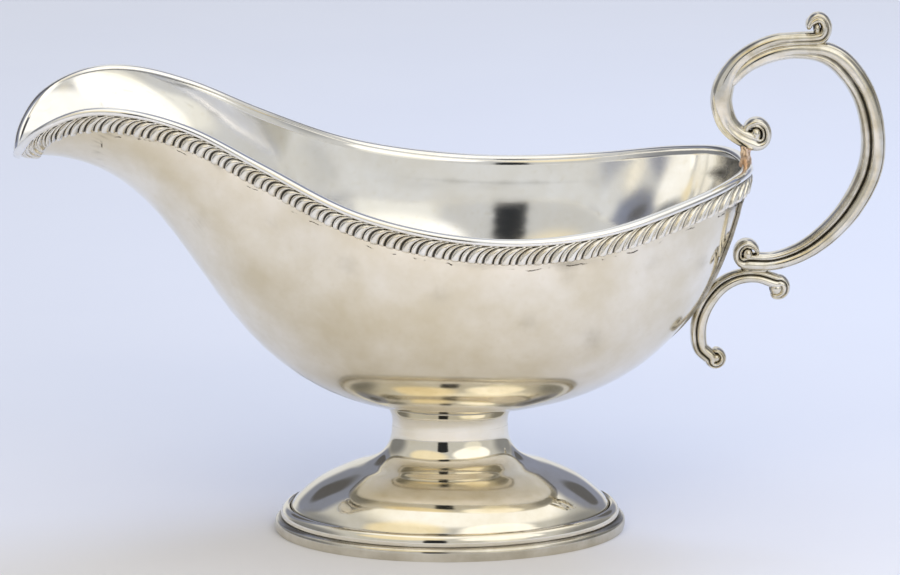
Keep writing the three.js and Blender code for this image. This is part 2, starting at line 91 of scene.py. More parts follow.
# The lower scroll is measured from the place where it touches the plate
LOWER_FOOT = np.array((61.0, 63.4))
LOWER_LINE = [
    (13.2, -1.05, 3.3, 4.4), (9.0, -1.2, 3.5, 4.5), (4.9, -3.1, 3.8, 4.6), (1.5, -6.9, 3.9, 4.7),
    (-0.6, -11.6, 4.0, 4.7), (-1.0, -15.6, 4.0, 4.7), (-0.3, -19.0, 3.7, 4.6),
]
# Half width and depth under the rim of the plate behind the handle
PLATE_LINE = [
    (10.4, 7.0), (10.4, 9.4), (9.5, 9.8), (9.4, 17.0), (10.0, 18.4), (8.8, 20.4), (6.9, 25.0),
    (4.9, 31.0), (2.8, 37.4), (0.35, 42.6),
]
# The dome of the foot from the neck to its edge, as shares of the way out and down
DOME_LINE = [
    (0.0, 0.0), (0.012, 0.14), (0.05, 0.26), (0.12, 0.36), (0.24, 0.44), (0.44, 0.525), (0.735, 0.70),
    (0.935, 0.9), (1.0, 1.0),
]

# Outlines of the foot's two rings: half length, height and how far the corner is rounded
BASE_OUTLINE = [
    (42.3, 0, 0.15), (42.6, 1.2, 0.5), (42.5, 2.75, 0.7), (41.3, 3.3, 0.1), (36.6, 3.3, 0),
    (36.6, 1.65, 0), (39.7, 1.65, 0), (39.7, 0, 0.15),
]
BEAD_OUTLINE = [
    (41.0, 3.3, 0.1), (41.2, 4.3, 0.9), (40.4, 5.9, 1.1), (39.3, 6.25, 0.5), (38.8, 5.7, 0.3),
    (38.8, 3.3, 0),
]
# The collar between neck and bowl: half length, height and how far the level follows the bowl
COLLAR_OUTLINE = np.array([
    (14.02, 26.0, 0), (13.98, 26.7, 0), (14.02, 27.4, 0.04), (14.14, 28.1, 0.12), (14.36, 28.7, 0.26),
    (14.7, 29.2, 0.5), (15.15, 29.55, 0.85), (15.45, 29.9, 1.0), (15.4, 30.3, 1.0), (14.0, 30.0, 1.0),
    (12.9, 29.6, 0.9), (11.9, 27.4, 0), (11.9, 26.0, 0),
])
# Level of the bowl's underside where the collar meets it on its long axis
COLLAR_LEVEL = 29.85
# Half length and height of the dome's upper end, of its edge and of the line that it stands on, and
# the height under which its inside runs straight down
DOME_TOP = (14.05, 26.0)
DOME_EDGE = (38.6, 6.0)
DOME_STAND = (38.75, 3.3)
DOME_INSIDE = 5.4
# Half length and half width of the foot's ovals, at the neck and at the base
NECK_OVAL = (13.6, 7.7)
BASE_OVAL = (42.5, 30.3)
# The post between rim and handle: height over the rim and radius, and its place along X
POST_LINE = [
    (-0.6, 1.55), (0.0, 1.5), (0.8, 1.35), (1.9, 1.22), (3.0, 1.22), (3.9, 1.4), (4.7, 1.8),
]
POST_X = 71.0

# Old stains on the near side of the bowl: place along X, height, radius in millimetres and depth
STAINS = [
    (-25.4, 75, 4.5, 0.34), (17, 61.5, 4, 0.3), (32, 56, 4.5, 0.36), (-60, 81.5, 5, 0.34),
    (-73, 87, 3, 0.3), (46, 74.5, 5, 0.34), (-4, 69, 3.5, 0.28), (60, 71, 3.5, 0.38),
    (-43, 84, 3, 0.3), (26, 73, 3.5, 0.3),
]

# Corners closer than this, in millimetres, are joined
WELD = 0.002


# Settings

def length(name, description, default):
    """A size that can be changed."""
    return bpy.props.FloatProperty(name=name, description=description, default=default, unit="LENGTH")


def angle(name, description, degrees):
    """An angle that can be changed."""
    return bpy.props.FloatProperty(
        name=name, description=description, default=math.radians(degrees), subtype="ANGLE")


def colour(name, description, default):
    """A colour that can be changed, as an sRGB hex value."""
    return bpy.props.StringProperty(name=name, description=description, default=default)


class BoatSettings(bpy.types.PropertyGroup):
    """Sizes of the sauce boat's pieces"""
    wall: length("Bowl wall", "Thickness of the bowl's wall", 1.2 * MM)
    rim_width: length("Rim width", "Width of the rounded edge over the wall", 2.75 * MM)
    rim_height: length("Rim height", "Height of the rounded edge", 1.75 * MM)
    gadroons: bpy.props.IntProperty(
        name="Gadroons per side", description="Number of lobes on each side of the border", default=58)
    gadroon_height: length("Gadroon height", "Height of the lobed band down the wall", 4.5 * MM)
    gadroon_depth: length("Gadroon depth", "How far the lobes stand out of the wall", 1.85 * MM)
    gadroon_lean: length("Gadroon lean", "How far each lobe leans towards the handle", 5.2 * MM)
    gadroon_sheet: length("Gadroon sheet", "Thickness of the border's stamped sheet", 0.25 * MM)
    foot_wall: length("Foot wall", "Thickness of the foot's wall", 1.4 * MM)
    plate: length("Plate thickness", "Thickness of the plate behind the handle", 0.55 * MM)


class FinishSettings(bpy.types.PropertyGroup):
    """Colours of the sauce boat's silver and of the floor"""
    silver: colour("Silver", "Clean silver plate", "#f5f2ea")
    warm_silver: colour("Warm silver", "Silver plate with a first yellow film", "#e0d5bb")
    # This brown also paints shade on the bowl's back end and on the handle's inner flanks
    tarnish: colour("Tarnish", "Brown tarnish that stays in the grooves", "#2a241b")
    copper: colour("Copper", "Base metal that shows at the solder", "#cfa078")
    floor: colour("Floor", "Plain pale floor", "#e3e6ee")
    floor_shade: colour("Floor shade", "The slightly deeper tone of the floor", "#e0e3ec")


class StageSettings(bpy.types.PropertyGroup):
    """Where the camera stands and how it looks"""
    distance: length("Camera distance", "From the camera to the boat", 1.5)
    elevation: angle("Camera elevation", "How far the camera looks down", 14.2)
    azimuth: angle("Camera azimuth", "How far the camera stands to the side", -2.0)
    lens: bpy.props.FloatProperty(
        name="Lens", description="Focal length in millimetres", default=249.12)


# Lines and surfaces of the boat, all in millimetres in its own measures

def blend(t, start, end, first, last):
    """The value at t on a straight way from first, at start, to last, at end."""
    return (end - t) / (end - start) * first + (t - start) / (end - start) * last


def smooth_line(points, closed=False, per_span=24):
    """Points along a smooth line through all the given points, close together where these are close."""
    points = np.asarray(points, float)
    if closed:
        ends = np.vstack([points[-1:], points, points[:2]])
    else:
        ends = np.vstack([2 * points[0] - points[1], points, 2 * points[-1] - points[-2]])
    line = []
    for p0, p1, p2, p3 in zip(ends, ends[1:], ends[2:], ends[3:]):
        steps = [max(np.linalg.norm((b - a)[:2]), 1e-6) ** 0.5
                 for a, b in ((p0, p1), (p1, p2), (p2, p3))]
        t0, t1, t2, t3 = np.cumsum([0] + steps)
        t = np.linspace(t1, t2, per_span, endpoint=False)[:, None]
        a1, a2, a3 = blend(t, t0, t1, p0, p1), blend(t, t1, t2, p1, p2), blend(t, t2, t3, p2, p3)
        b1, b2 = blend(t, t0, t2, a1, a2), blend(t, t1, t3, a2, a3)
        line.append(blend(t, t1, t2, b1, b2))
    line.append(points[:1] if closed else points[-1:])
    return np.vstack(line)


def even_steps(line, count, places=2):
    """The line again with count steps of equal length, which is measured on its first columns."""
    way = np.r_[0, np.cumsum(np.linalg.norm(np.diff(line[:, :places], axis=0), axis=1))]
    at = np.linspace(0, way[-1], count + 1)
    return np.column_stack([np.interp(at, way, column) for column in line.T])


def left_of(steps):
    """Directions, one unit long, to the left of each step of a line."""
    left = np.column_stack([-steps[:, 1], steps[:, 0]])
    return left / np.linalg.norm(left, axis=1)[:, None]


# Steps round the rim
RIM_STEPS = 1440
# How far the rim's bends run into each other, in millimetres
RIM_EASE = 2.2
# How far in from the rim the wall is measured, in millimetres, and in how many steps
WALL_REACH = 12
WALL_STEPS = 40


def rim_line():
    """The closed rim from the lip along the near side, eased so that its bends run into each other."""
    near = [(x, -y, z) for x, y, z in RIM_LINE]
    far = [(x, y, z) for x, y, z in RIM_LINE[-2:0:-1]]
    line = even_steps(smooth_line(near + far, closed=True, per_span=60), RIM_STEPS, places=3)[:-1]
    step = np.linalg.norm(np.diff(line, axis=0), axis=1).mean()
    waves = np.fft.fftfreq(RIM_STEPS, step)
    kept = np.exp(-2 * (np.pi * RIM_EASE * waves[:, None]) ** 2)
    eased = np.fft.ifft(np.fft.fft(line, axis=0) * kept, axis=0)
    return np.vstack([eased.real, eased.real[:1]])


RIM = rim_line()
RIM_LENGTH = np.linalg.norm(np.diff(RIM, axis=0), axis=1).sum()
NEAR_RIM = RIM[: RIM_STEPS // 2 + 1]


def rim_at(share):
    """Places on the rim at shares of its length from the lip, the near side first."""
    steps = np.arange(RIM_STEPS + 1) / RIM_STEPS
    return np.column_stack([np.interp(np.mod(share, 1.0), steps, column) for column in RIM.T])


def keel_line():
    """The lowest line of the bowl, from the lip through the bottom to the back."""
    t = np.linspace(0, 1, 240)[:, None]
    halves = []
    for end, (first, second) in ((NEAR_RIM[0], LIP_KEEL), (NEAR_RIM[-1], BACK_KEEL)):
        points = [np.array(p, float) for p in (BOTTOM, first, second, (end[0], end[2]))]
        halves.append((1 - t) ** 3 * points[0] + 3 * t * (1 - t) ** 2 * points[1]
                      + 3 * t ** 2 * (1 - t) * points[2] + t ** 3 * points[3])
    return np.vstack([halves[0][::-1], halves[1][1:]])


KEEL = keel_line()


def smoothstep(x, low, high):
    """0 up to low, 1 from high on, and a soft rise in between."""
    t = np.clip((x - low) / (high - low), 0, 1)
    return t * t * (3 - 2 * t)


def bowl_height(x, y):
    """Height of the outside of the bowl over the point x, y."""
    half_width = np.maximum(np.interp(x, NEAR_RIM[:, 0], -NEAR_RIM[:, 1]), 1e-6)
    top = np.interp(x, NEAR_RIM[:, 0], NEAR_RIM[:, 2])
    bottom = np.interp(x, KEEL[:, 0], KEEL[:, 1])
    across = np.minimum(np.abs(y) / half_width, 1)
    flare = LIP_FLARE * (1 - smoothstep(x, RIM_LINE[0][0], LIP_FLARE_END))
    quarter_oval = 1 - np.sqrt(1 - across ** 2)
    flared = across ** 2 * (1 - FLARE_CURL + FLARE_CURL * across ** 2)
    return bottom + (top - bottom) * (quarter_oval * (1 - flare) + flared * flare)


def on_bowl(share, reach):
    """Places on the outside of the bowl: reach runs from 0 at the bottom to 1 at the rim."""
    rim = rim_at(share)
    x = BOTTOM[0] + (rim[:, 0] - BOTTOM[0]) * reach
    y = rim[:, 1] * reach
    z = np.where(reach > 0.99999, rim[:, 2], bowl_height(x, y))
    return np.column_stack([x, y, z])


def on_wall(share, down, out):
    """Places at a distance down the wall from the rim, and out of the wall."""
    rim = rim_at(share)
    near = 0.002
    inward = left_of(rim_at(share + near) - rim_at(share - near))
    middle = np.column_stack([BOTTOM[0] - rim[:, 0], -rim[:, 1]])
    inward *= np.where((inward * middle).sum(1) < 0, -1, 1)[:, None]
    steps = WALL_REACH * (np.arange(WALL_STEPS + 1) / WALL_STEPS) ** 2
    x = rim[:, :1] + inward[:, :1] * steps
    y = rim[:, 1:2] + inward[:, 1:] * steps
    z = bowl_height(x, y)
    z[:, 0] = rim[:, 2]
    depth = np.cumsum(
        np.hypot(np.diff(steps, prepend=0), np.diff(z, axis=1, prepend=z[:, :1])), axis=1)
    low = np.clip((depth <= down[:, None]).sum(1) - 1, 0, WALL_STEPS - 1)
    rows = np.arange(len(rim))
    part = (down - depth[rows, low]) / (depth[rows, low + 1] - depth[rows, low])
    span_in = steps[low + 1] - steps[low]
    span_down = z[rows, low + 1] - z[rows, low]
    span = np.hypot(span_in, span_down)
    move_in = steps[low] + part * span_in + out * span_down / span
    height = z[rows, low] + part * span_down - out * span_in / span
    return np.column_stack([
        rim[:, 0] + inward[:, 0] * move_in, rim[:, 1] + inward[:, 1] * move_in, height])


def half_width_of(half_length):
    """Each level of the foot is an oval whose half width follows from its half length."""
    growth = (BASE_OVAL[1] - NECK_OVAL[1]) / (BASE_OVAL[0] - NECK_OVAL[0])
    return NECK_OVAL[1] + growth * (half_length - NECK_OVAL[0])


# Modelling by hand

def add_primitive(name, operator, **size):
    """Adds a primitive with nothing else selected and names it."""
    bpy.ops.object.select_all(action="DESELECT")
    operator(**size)
    piece = bpy.context.object
    piece.name = name
    piece.data.name = name
    return piece


def add_grid(name, columns, rows):
    """Adds a flat grid, and tells in which column and row of it each corner stands."""
    piece = add_primitive(name, bpy.ops.mesh.primitive_grid_add,
                          x_subdivisions=columns, y_subdivisions=rows, size=1)
    corners = corners_of(piece)
    column = np.round((corners[:, 0] + 0.5) * columns).astype(int)
    row = np.round((corners[:, 1] + 0.5) * rows).astype(int)
    return piece, column, row


def select_only(*pieces):
    """Selects these pieces and nothing else, and makes the first the active one."""
    bpy.ops.object.select_all(action="DESELECT")
    for piece in pieces:
        piece.select_set(True)
    bpy.context.view_layer.objects.active = pieces[0]


def edit(piece, *steps):
    """Runs edit-mode operators on the whole of a piece, one after the other."""
    select_only(piece)
    bpy.ops.object.mode_set(mode="EDIT")
    bpy.ops.mesh.select_all(action="SELECT")
    for operator, values in steps:
        operator(**values)
    bpy.ops.object.mode_set(mode="OBJECT")


def corners_of(piece):
    """The places of a piece's corners, one row for each."""
    places = np.empty(len(piece.data.vertices) * 3)
    piece.data.vertices.foreach_get("co", places)
    return places.reshape(-1, 3)


def move_corners(piece, places):
    """Gives the corners of a piece new places."""
    piece.data.vertices.foreach_set("co", np.ascontiguousarray(places, dtype=np.float64).ravel())
    piece.data.update()


def mark(piece, name, values):
    """Stores one number for each corner under a name that the materials read."""
    layer = piece.data.attributes.new(name, "FLOAT", "POINT")
    layer.data.foreach_set("value", np.ascontiguousarray(values, dtype=np.float32))


def seat(piece, places, tarnish=None):
    """Moves the corners to places in millimetres from the boat's middle, and marks their tarnish and
    painted shade.
    """
    move_corners(piece, np.asarray(places) * MM + np.array([MIDDLE_X, 0, 0]))
    if tarnish is not None:
        mark(piece, "tarnish", tarnish)


def apply_modifier(piece, kind, **values):
    """Adds a modifier with its values and applies it."""
    bpy.context.view_layer.objects.active = piece
    modifier = piece.modifiers.new(kind.title(), kind)
    for name, value in values.items():
        setattr(modifier, name, value)
    bpy.ops.object.modifier_apply(modifier=modifier.name)


def weld(piece, distance=WELD * MM, fill=False):
    """Joins corners that lie on each other, fills open ends if asked, and turns all faces outwards."""
    ends = [(bpy.ops.mesh.fill_holes, {"sides": 0}), (bpy.ops.mesh.select_all, {"action": "SELECT"})]
    edit(piece,
         (bpy.ops.mesh.remove_doubles, {"threshold": distance}),
         *(ends if fill else []),
         (bpy.ops.mesh.normals_make_consistent, {"inside": False}))


def check_closed(piece):
    """Stops the script if a piece has an open edge or one that more than two faces share."""
    edges = np.empty(len(piece.data.loops), dtype=np.int32)
    piece.data.loops.foreach_get("edge_index", edges)
    if not (np.bincount(edges, minlength=len(piece.data.edges)) == 2).all():
        raise RuntimeError(piece.name + " isn't a closed mesh")


def finish_piece(piece, node, material=None, sharp=None):
    """Smooths the shading, but not over edges of more degrees than sharp, gives the finish, and sets
    the piece in the place of its solid."""
    check_closed(piece)
    select_only(piece)
    if sharp is None:
        bpy.ops.object.shade_smooth()
    else:
        bpy.ops.object.shade_smooth_by_angle(angle=math.radians(sharp))
    if material:
        piece.data.materials.append(material)
    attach(piece, "root")
    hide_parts(node)


def rolled_sheet(name, columns, rows, place):
    """A grid rolled to a bar, with its seam joined and its open ends filled: place gives the places of
    its corners and their tarnish, which on the handle's bars also holds painted shade."""
    piece, u, v = add_grid(name, columns, rows)
    seat(piece, *place(u, v))
    weld(piece, fill=True)
    return piece


def spun_oval(name, outline, steps=144):
    """A ring whose section, of half lengths and heights in millimetres, is spun round. It also gives
    the places that press it to an oval, and the half length of each."""
    piece = add_primitive(name, bpy.ops.mesh.primitive_circle_add, vertices=len(outline), radius=1)
    outline = np.asarray(outline, float)
    corners = corners_of(piece)
    order = np.argsort(np.mod(np.arctan2(corners[:, 1], corners[:, 0]) + 1e-6, 2 * np.pi))
    section = np.zeros_like(corners)
    section[order, 0] = outline[:, 0]
    section[order, 2] = outline[:, 1]
    move_corners(piece, section)
    edit(piece, (bpy.ops.mesh.spin, {
        "steps": steps, "angle": 2 * math.pi, "center": (0, 0, 0), "axis": (0, 0, 1)}))
    weld(piece, WELD)
    spun = corners_of(piece)
    half_length = np.hypot(spun[:, 0], spun[:, 1])
    spun[:, 1] *= half_width_of(half_length) / half_length
    return piece, spun, half_length


def rounded(corners, steps=5):
    """An outline with some corners rounded: each entry is a half length, a height and a radius."""
    places, radii = np.split(np.array(corners, float), [2], axis=1)
    points = []
    for before, here, after, radius in zip(
            np.roll(places, 1, 0), places, np.roll(places, -1, 0), radii):
        if radius == 0:
            points.append(here)
            continue
        start, end = [here + (other - here) / np.linalg.norm(other - here) * radius
                      for other in (before, after)]
        for t in np.linspace(0, 1, steps + 1):
            points.append((1 - t) ** 2 * start + 2 * t * (1 - t) * here + t ** 2 * end)
    return np.array(points)


# Finishes

def linear(hex_colour):
    """A colour given as sRGB hex, turned to the linear values that shaders work with."""
    parts = [int(hex_colour[i:i + 2], 16) / 255 for i in (1, 3, 5)]
    return tuple(c / 12.92 if c <= 0.04045 else ((c + 0.055) / 1.055) ** 2.4 for c in parts) + (1.0,)


def add_node(tree, kind, inputs=None):
    """Adds a node. Each entry sets an option, gives an input its value or links it to another node."""
    node = tree.nodes.new("ShaderNode" + kind)
    for name, value in (inputs or {}).items():
        if isinstance(value, bpy.types.Node):
            value = value.outputs[0]
        if isinstance(value, bpy.types.NodeSocket):
            tree.links.new(value, node.inputs[name])
        elif isinstance(name, str) and hasattr(node, name):
            setattr(node, name, value)
        else:
            node.inputs[name].default_value = value
    return node


def per_mm(size):
    """Scale of a pattern whose features are about this many millimetres across."""
    return 1000.0 / size


def seam_line(add, place):
    """A thin broken line of old solder on the bowl, a little under the border."""
    depth = add("Attribute", {"attribute_name": "under_rim"})
    wander = add("TexNoise", {"Scale": per_mm(4), "Detail": 3.0, "Vector": place})
    # It wanders between 6.1 and 8.3 mm under the rim
    level = add("Math", {"operation": "MULTIPLY_ADD", 0: wander, 1: 2.2, 2: 6.1})
    off = add("Math", {"operation": "SUBTRACT", 0: depth.outputs["Fac"], 1: level})
    away = add("Math", {"operation": "ABSOLUTE", 0: off})
    line = add("MapRange", {"interpolation_type": "SMOOTHSTEP", "Value": away,
                            "From Min": 0.04, "From Max": 0.22, "To Min": 0.75, "To Max": 0.0})
    breaks = add("TexNoise", {"Scale": per_mm(3.2), "Detail": 4.0, "Vector": place})
    there = add("MapRange", {"Value": breaks, "From Min": 0.52, "From Max": 0.60})
    return add("Math", {"operation": "MULTIPLY", 0: line, 1: there})


def silver_finish(name, clean, film, tarnish, film_share, cloud_size, roughness, swell_height, streaks,
                  seam=False):
    """Plated metal: a bright mirror under a patchy film, with tarnish and painted shade left where the
    marks say.
    """
    material = bpy.data.materials.new(name)
    material.use_nodes = True
    tree = material.node_tree
    tree.nodes.clear()
    add = partial(add_node, tree)
    output = add("OutputMaterial")
    place = add("TexCoord").outputs["Object"]
    cloud = add("TexNoise", {
        "Scale": per_mm(cloud_size), "Detail": 4.0, "Roughness": 0.6, "Vector": place})
    filmed = add("MapRange", {"Value": cloud, "From Min": 0.36, "From Max": 0.68, "To Max": film_share})
    # Freckles of 1.5 mm, where polish dried on
    freckle = add("TexNoise", {"Scale": per_mm(1.5), "Detail": 2.0, "Roughness": 0.5, "Vector": place})
    freckled = add("MapRange", {"Value": freckle, "From Min": 0.58, "From Max": 0.80, "To Max": 0.3})
    marks = add("Attribute", {"attribute_name": "tarnish"}).outputs["Fac"]
    if seam:
        marks = add("Math", {"operation": "ADD", 0: marks, 1: seam_line(add, place)})
    worn = add("Math", {"operation": "MULTIPLY_ADD", 0: cloud, 1: 0.5, 2: -0.25})
    kept = add("Math", {"operation": "ADD", "use_clamp": True, 0: marks, 1: worn})
    brown = add("MapRange", {
        "interpolation_type": "SMOOTHSTEP", "Value": kept, "From Min": 0.15, "To Max": 0.9})
    tone = linear(clean)
    for share, over in ((filmed, film), (freckled, film), (brown, tarnish)):
        tone = add("Mix", {"data_type": "RGBA", 0: share, 6: tone, 7: linear(over)}).outputs[2]
    # Hairlines from wiping, 0.25 mm apart and 8 mm long, drawn a little coarser so that they show
    turned = add("Mapping", {"vector_type": "TEXTURE", "Scale": streaks, "Vector": place})
    hairlines = add("TexNoise", {"Scale": 1.0, "Detail": 3.0, "Roughness": 0.65, "Vector": turned})
    # Film, hairlines, tarnish and painted shade dull the mirror
    rough = roughness
    for share, more in ((filmed, 0.09), (hairlines, 0.06), (brown, 0.35)):
        rough = add("Math", {
            "operation": "MULTIPLY_ADD", "use_clamp": True, 0: share, 1: more, 2: rough})
    # The metal was raised by hammer, so that its face still swells a little every 14 mm
    hammer = add("TexNoise", {"Scale": per_mm(14), "Detail": 1.0, "Roughness": 0.4, "Vector": place})
    swell = add("Bump", {"Strength": 1.0, "Distance": swell_height * MM, "Height": hammer})
    lines = add("Bump", {
        "Strength": 0.25, "Distance": 0.004 * MM, "Height": hairlines, "Normal": swell})
    shader = add("BsdfPrincipled", {
        "Metallic": 1.0, "Base Color": tone, "Roughness": rough, "Normal": lines})
    tree.links.new(shader.outputs["BSDF"], output.inputs["Surface"])
    return material


# Length, width and depth of the hairlines, along the boat and upright
ALONG = (8 * MM, 0.5 * MM, 0.5 * MM)
UPRIGHT = (0.5 * MM, 0.5 * MM, 6 * MM)

# Each finish: its name, its clean and filmed colours and the colour of its tarnish and painted shade,
# which are hex values or settings, the share of the film and the size of its clouds in millimetres, the
# roughness, the height of the swell in millimetres, the hairlines, and whether the solder's line shows
FINISHES = {
    # Rolled and raised sheet, plated and hand polished: a soft mirror with pale yellow clouds
    "bowl": ("polished silver plate of the bowl",
             "#f3ecdc", "warm_silver", "tarnish", 0.85, 16, 0.06, 0.10, ALONG, True),
    # The same plate inside, scoured clean by washing: paler, with less film
    "inside": ("washed silver plate inside the bowl",
               "#f7f6f3", "#e9e2d0", "tarnish", 0.4, 14, 0.05, 0.08, ALONG),
    # Stamped and soldered border: bright on the lobes, with brown left in the grooves
    "border": ("stamped silver plate of the border",
               "silver", "warm_silver", "tarnish", 0.5, 6, 0.16, 0.02, UPRIGHT),
    # Spun and polished foot: the clearest mirror on the boat, yellowed evenly
    "foot": ("spun silver plate of the foot",
             "#f1ecdf", "#e5dcc5", "tarnish", 0.8, 13, 0.0, 0.03, ALONG),
    # Cast scrolls, filed and plated: warm mirror faces with dark grooves
    "handle": ("cast silver plate of the handle",
               "#e9e5da", "#cbc0a3", "tarnish", 0.8, 6, 0.06, 0.04, ALONG),
    # Silver worn through to copper, with brown flux, where the handle was soldered on
    "solder": ("worn plate and copper at the solder",
               "#e6cdb4", "copper", "#4a3626", 0.9, 2.5, 0.24, 0.06, UPRIGHT),
}


def silver(kind):
    """The finish of that kind, made at its first use."""
    name, *values = FINISHES[kind]
    settings = bpy.context.scene.boat_finishes
    colours = [value if value[0] == "#" else getattr(settings, value) for value in values[:3]]
    return bpy.data.materials.get(name) or silver_finish(name, *colours, *values[3:])


# Pieces

class BOAT_OT_bowl(bpy.types.Operator):
    """Raises the bowl from the lower half of a sphere and gives it its wall"""
    bl_idname = "boat.bowl"
    bl_label = "Bowl"

    def execute(self, context):
        sizes = context.scene.boat_sizes
        bowl = add_primitive("bowl_body", bpy.ops.mesh.primitive_uv_sphere_add,
                             segments=256, ring_count=76, radius=1)
        for face in bowl.data.polygons:
            face.select = face.center.z > 0
        for thing in (bowl.data.vertices, bowl.data.edges):
            thing.foreach_set("select", [False] * len(thing))
        context.tool_settings.mesh_select_mode = (False, False, True)
        bpy.ops.object.mode_set(mode="EDIT")
        bpy.ops.mesh.delete(type="FACE")
        bpy.ops.object.mode_set(mode="OBJECT")
        context.tool_settings.mesh_select_mode = (True, False, False)
        corners = corners_of(bowl)
        reach = np.clip(np.hypot(corners[:, 0], corners[:, 1]), 0, 1)
        share = np.mod(np.arctan2(corners[:, 1], corners[:, 0]) / (2 * np.pi) - 0.5, 1.0)
        places = on_bowl(share, reach)
        # Solder left a brown line under the border, 6.3 mm below the rim
        under_rim = rim_at(share)[:, 2] - places[:, 2]
        tarnish = 0.4 * np.exp(-((under_rim - 6.3) / 0.7) ** 2)
        for x, z, radius, depth in STAINS:
            away = np.hypot(places[:, 0] - x, places[:, 2] - z) / radius
            tarnish += depth * np.exp(-away ** 2) * (places[:, 1] < 0)
        # Painted shade: the back end near the handle's post is darkened, inside and out
        tarnish += 0.55 * smoothstep(places[:, 0], 62, 69) * smoothstep(places[:, 2], 72, 84)
        seat(bowl, places, tarnish)
        mark(bowl, "under_rim", under_rim)
        weld(bowl)
        bowl.data.materials.append(silver("bowl"))
        bowl.data.materials.append(silver("inside"))
        apply_modifier(bowl, "SOLIDIFY", thickness=sizes.wall, offset=-1, use_even_offset=True,
                       use_rim=True, material_offset=1, material_offset_rim=0)
        finish_piece(bowl, "bowl")
        return {"FINISHED"}


class BOAT_OT_border(bpy.types.Operator):
    """Lays the rounded rim and the two halves of the gadroon border on the wall"""
    bl_idname = "boat.border"
    bl_label = "Rim and gadroon border"

    def rim(self, sizes):
        """A wire of soft square section, run round the rim and joined to itself."""
        sides, steps = 16, 480
        half_height = sizes.rim_height / MM / 2
        half_width = sizes.rim_width / MM / 2
        # Its middle lies this far down the wall and out of it; a power under 1 squares the section
        middle_down, middle_out, squareness = 0.62, 0.1, 0.8

        def place(u, v):
            turn = 2 * np.pi * np.mod(v, sides) / sides
            share = np.mod(u, steps) / steps
            across, upwards = [
                np.sign(wave) * np.abs(wave) ** squareness for wave in (np.cos(turn), np.sin(turn))]
            # It draws in over the last 20 mm to the tip of the lip
            tip = 0.6 + 0.4 * smoothstep(np.minimum(share, 1 - share) * RIM_LENGTH, 2, 20)
            down = middle_down - half_height * upwards
            out = tip * (middle_out + half_width * across)
            above = down < 0
            places = on_wall(share, np.maximum(down, 0), out)
            places[above, 2] -= down[above]
            return places, np.zeros(len(u))

        rim = rolled_sheet("rim_edge", steps, sides, place)
        finish_piece(rim, "rim_wire", silver("inside"))

    def gadroons(self, sizes, side):
        """One lobe and one reed are modelled flat, repeated along the band, and laid on the wall."""
        # Columns across one repeat: a groove, a broad lobe, a groove and a narrow reed
        across = np.array([
            0, 0.05, 0.085, 0.15, 0.25, 0.36, 0.46, 0.53, 0.57, 0.63, 0.67, 0.79, 0.91, 0.95, 1.0])
        lobe = np.array([0, 0, 0.55, 0.86, 0.98, 0.98, 0.86, 0.55, 0, 0, 0.5, 0.72, 0.5, 0, 0])
        # Rows from the lower edge up to the rim's edge
        rows = np.array([0, 0.04, 0.10, 0.18, 0.30, 0.44, 0.57, 0.68, 0.78, 0.87, 0.94, 1.0])
        unit, column, row = add_grid("gadroon_border_" + side + "_side", len(across) - 1, len(rows) - 1)
        height = rows[row]
        # The lobe is round over the lowest 0.22 of the band and sinks by 0.35 towards the rim
        end = np.clip(1 - height / 0.22, 0, 1)
        round_end = np.sqrt(np.clip(1 - end ** 2, 0, 1)) * (1 - 0.35 * smoothstep(height, 0.75, 1))
        rise = lobe[column] * round_end
        # The grooves between the lobes lie a quarter of the depth over the wall
        floor = 0.26
        out = np.where(row == 0, -0.06, floor * np.minimum(1, height / 0.04) + (1 - floor) * rise)
        move_corners(unit, np.column_stack([across[column], height, out]))
        mark(unit, "tarnish", np.clip(1.0 - 2.0 * rise, 0, 1) * np.clip(0.25 + height / 0.1, 0, 1))
        apply_modifier(unit, "ARRAY", count=sizes.gadroons, use_relative_offset=False,
                       use_constant_offset=True, constant_offset_displace=(1, 0, 0),
                       use_merge_vertices=True, merge_threshold=0.001)
        corners = corners_of(unit)
        depth = sizes.gadroon_depth / MM
        band = sizes.gadroon_height / MM
        along = corners[:, 0] / sizes.gadroons
        # The lean starts over the first two and a half lobes and ends over the last
        taper = np.clip(np.minimum(along, 1 - along) * sizes.gadroons / 2.5, 0, 1)
        # Each lobe bends over like a quarter circle, and has its place where 0.4 of that is done
        curve = 1 - np.sqrt(np.clip(1 - (0.98 * corners[:, 1]) ** 2, 0, 1))
        lean = sizes.gadroon_lean / MM * taper * (curve - 0.4) / RIM_LENGTH
        share = along / 2 + lean
        if side == "far":
            share = 1 - share
        # The band starts under the rounded edge, 1.45 mm down the wall
        down = 1.45 + band * (1 - corners[:, 1])
        # Under the tip of the lip the band lies flatter
        flat = 0.4 + 0.6 * smoothstep(along * RIM_LENGTH / 2, 4, 26)
        seat(unit, on_wall(share, down, depth * flat * corners[:, 2]))
        weld(unit)
        apply_modifier(unit, "SOLIDIFY", thickness=sizes.gadroon_sheet, offset=-1, use_rim=True)
        finish_piece(unit, "gadroon_border_" + side, silver("border"))

    def execute(self, context):
        sizes = context.scene.boat_sizes
        self.rim(sizes)
        self.gadroons(sizes, "near")
        self.gadroons(sizes, "far")
        return {"FINISHED"}


